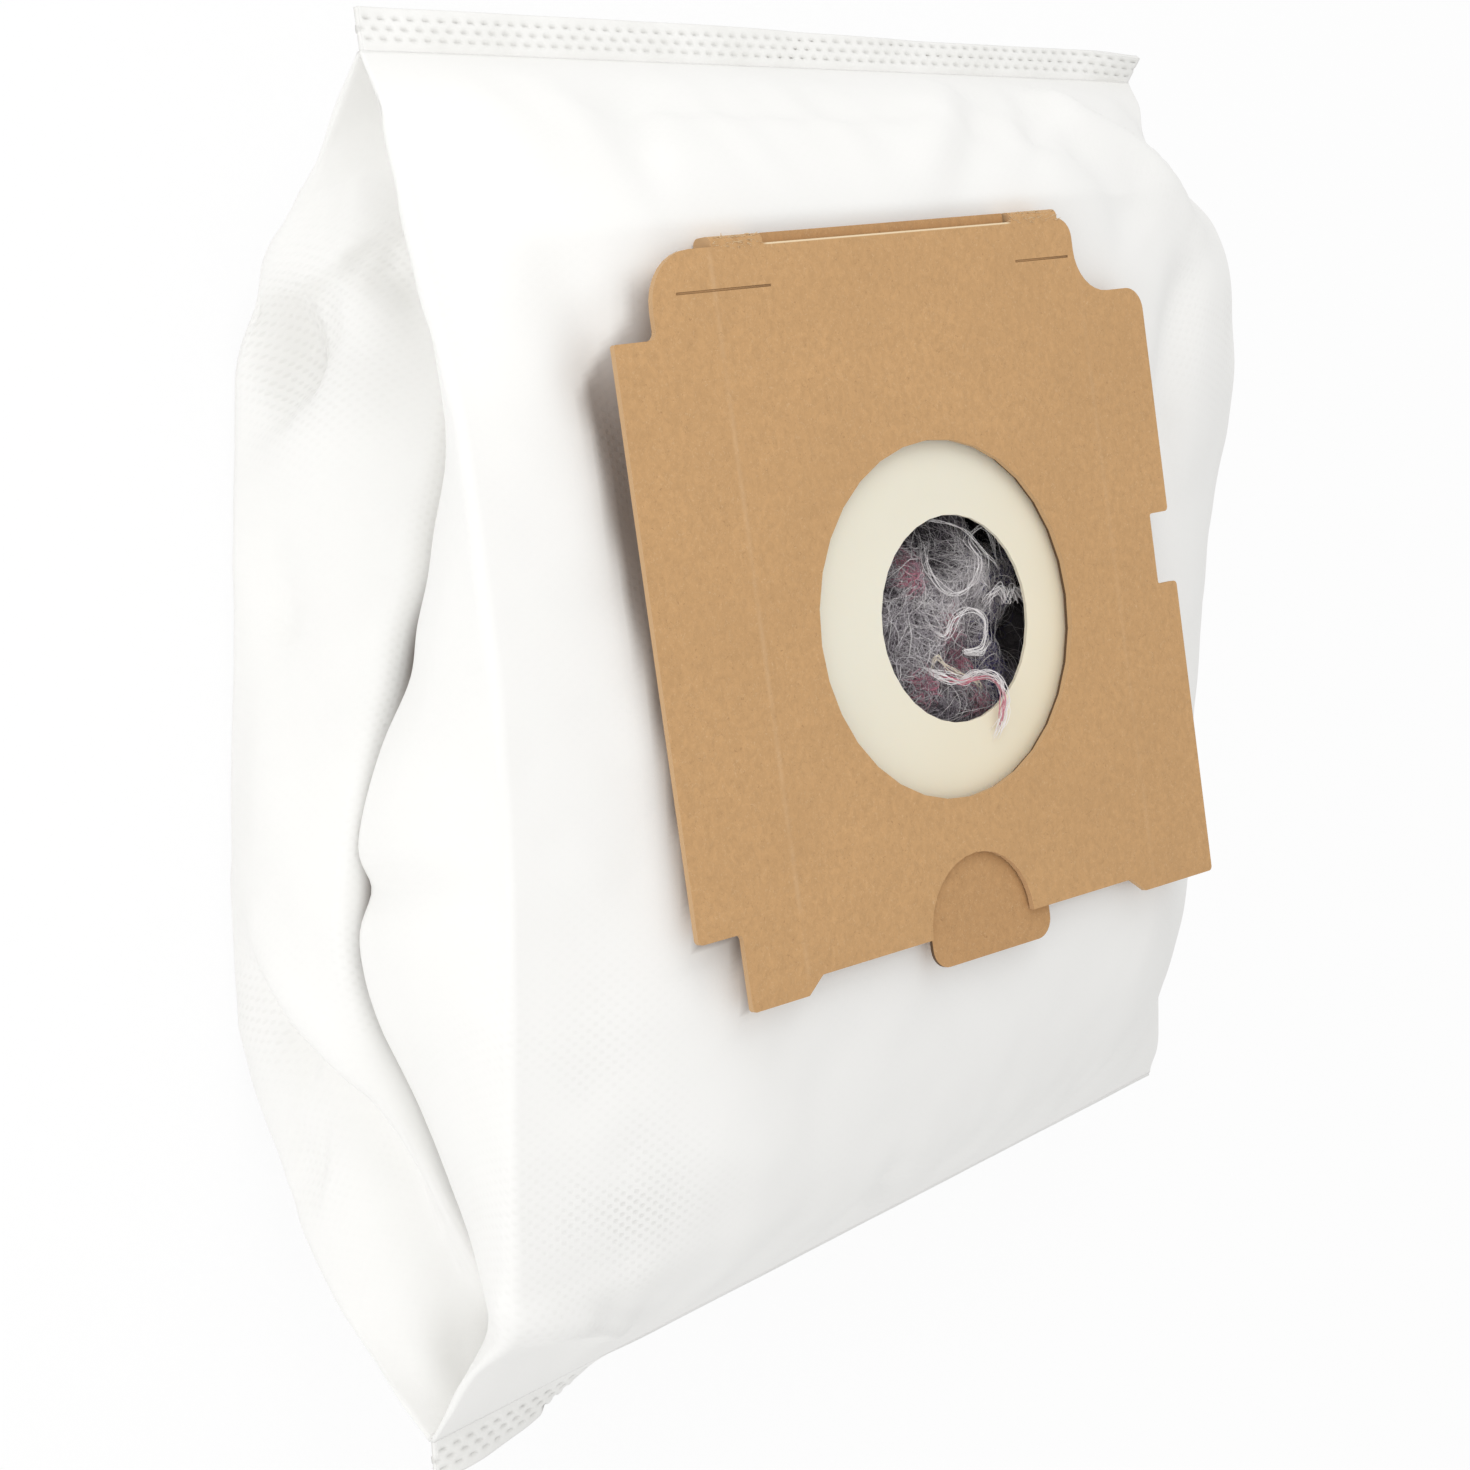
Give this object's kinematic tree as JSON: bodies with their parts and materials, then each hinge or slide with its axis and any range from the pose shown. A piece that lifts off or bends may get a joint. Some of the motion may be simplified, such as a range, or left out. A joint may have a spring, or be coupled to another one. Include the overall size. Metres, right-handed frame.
{
  "type": "vacuum dust bag",
  "caption": "Full fleece dust bag with tucked-in side gussets, welded end seams, and a folded card collar that holds a rubber inlet membrane and a pull-down closing slide.",
  "frame": {"origin": "on the floor, under the middle of the bag's box as it lies on its back", "axes": "+Z the way the collar faces, +Y towards the top seam, +X to the right with the collar facing you"},
  "size_m": [0.217, 0.233, 0.0852],
  "materials": {
    "fleece": "white embossed non-woven fleece",
    "collar_card": "uncoated grey-brown recycled card",
    "slide_card": "uncoated brown card",
    "membrane": "cream sheet rubber, satin",
    "lint": "matted grey-mauve dust and fluff"
  },
  "bodies": {
    "bag": {"front_sheet": "fleece", "rear_sheet": "fleece", "collar_card": "collar_card", "guide_strip_left": "collar_card", "guide_strip_right": "collar_card", "membrane": "membrane", "lint_fill": "lint"},
    "slide": {"closing_slide": "slide_card"}
  },
  "joints": [
    {"name": "slide_close", "type": "slide", "parent": "bag", "child": "slide", "axis": [0, -1, 0], "range_m": [0, 0.048]}
  ]
}
